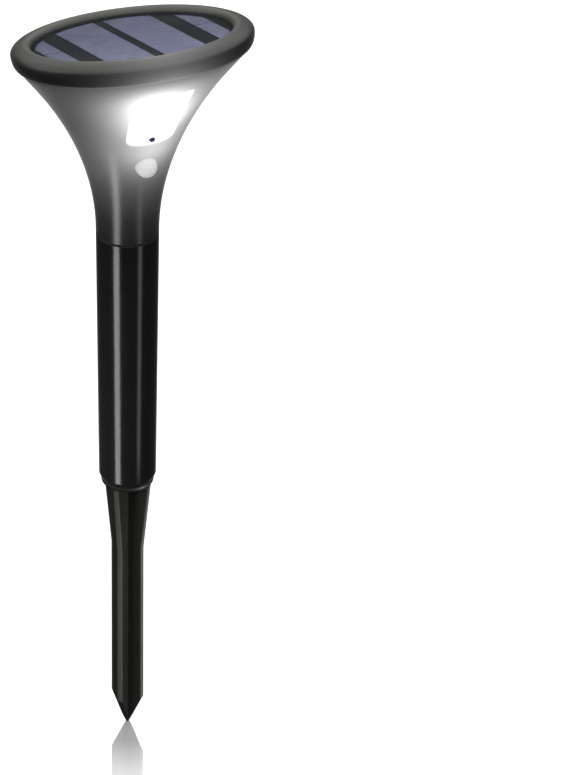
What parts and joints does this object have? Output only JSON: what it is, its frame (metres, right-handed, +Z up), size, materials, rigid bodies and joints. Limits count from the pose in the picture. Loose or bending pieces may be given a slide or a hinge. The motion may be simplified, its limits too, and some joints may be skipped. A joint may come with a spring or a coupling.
{
  "type": "solar garden light",
  "caption": "Solar garden light: a finned ground spike and a tapered pole carry a leaning horn-shaped head with a round solar panel, lit window, motion sensor and push button.",
  "frame": {"origin": "on the pole axis at the soil line, the underside of the spike collar", "axes": "+Z up along the pole, -Y towards the lit window and motion sensor, +X to the right of someone looking along +Y"},
  "size_m": [0.118, 0.1136, 0.424],
  "materials": {
    "black_gloss": "satin-gloss moulded black ABS",
    "smoke_plastic": "smoky grey moulded plastic, lit from inside round the window",
    "spike_plastic": "moulded black, fine matte grain",
    "rubber_black": "matte",
    "screw_steel": "zinc plated",
    "clear_plastic": "clear polycarbonate",
    "panel_clear": "clear glossy laminate",
    "solar_cell": "lavender-blue silicon with fine contact lines",
    "panel_board": "very dark green-black laminate",
    "circuit_green": "solder mask",
    "white_plastic": "white reflector plastic",
    "white_board": "white solder mask",
    "led_white": "cool white emitter",
    "sensor_blue": "dark blue epoxy",
    "milky_plastic": "milky polyethylene lens with small facets",
    "tin_plate": "nickel plated",
    "battery_wrap": "shrink wrap over a metal can",
    "chip_black": "moulded epoxy",
    "wire_red": "PVC insulation",
    "wire_black": "PVC insulation"
  },
  "bodies": {
    "spike": {"ground_spike": "spike_plastic"},
    "pole": {"pole_tube": "black_gloss"},
    "neck_ring": {"neck_seal": "rubber_black"},
    "head": {"head_shell": "smoke_plastic", "window_lens": "clear_plastic", "top_cover": "black_gloss", "cover_seal": "rubber_black", "panel_cover": "panel_clear", "panel_backing": "panel_board", "reflector": "white_plastic", "led_board": "white_board", "light_sensor": "sensor_blue", "pir_dome": "milky_plastic", "pir_sensor": "tin_plate", "sensor_board": "circuit_green", "control_board": "circuit_green", "control_chip": "chip_black", "button_switch": "tin_plate", "battery_holder": "black_gloss", "battery_contact": "tin_plate", "battery_cell": "battery_wrap", "battery_spring": "tin_plate", "battery_cap": "black_gloss", "panel_wire_red": "wire_red", "panel_wire_black": "wire_black", "led_wire_red": "wire_red", "led_wire_black": "wire_black", "battery_wire_red": "wire_red", "battery_wire_black": "wire_black", "sensor_ribbon": "milky_plastic", "cover_screw_1": "screw_steel", "led_1": "led_white", "cover_screw_2": "screw_steel", "led_2": "led_white", "cover_screw_3": "screw_steel", "led_3": "led_white", "cover_screw_4": "screw_steel", "led_4": "led_white", "solar_cell_left": "solar_cell", "solar_cell_right": "solar_cell", "side_cell_left_front": "solar_cell", "side_cell_left_back": "solar_cell", "side_cell_right_front": "solar_cell", "side_cell_right_back": "solar_cell", "led_board_screw_1": "screw_steel", "sensor_board_screw_1": "screw_steel", "led_board_screw_2": "screw_steel", "sensor_board_screw_2": "screw_steel"},
    "button": {"mode_button": "rubber_black"}
  },
  "joints": [
    {"name": "pole_pull", "type": "slide", "parent": "spike", "child": "pole", "axis": [0, 0, 1], "range_m": [0, 0.022]},
    {"name": "head_pull", "type": "slide", "parent": "pole", "child": "neck_ring", "axis": [0, 0, 1], "range_m": [0, 0.018]},
    {"name": "head_swivel", "type": "hinge", "parent": "neck_ring", "child": "head", "pos_m": [0, 0, 0.146], "axis": [0, 0, 1], "continuous": true},
    {"name": "button_press", "type": "slide", "parent": "head", "child": "button", "axis": [0, -1, 0], "range_m": [0, 0.0012], "stiffness_N_per_m": 800}
  ]
}
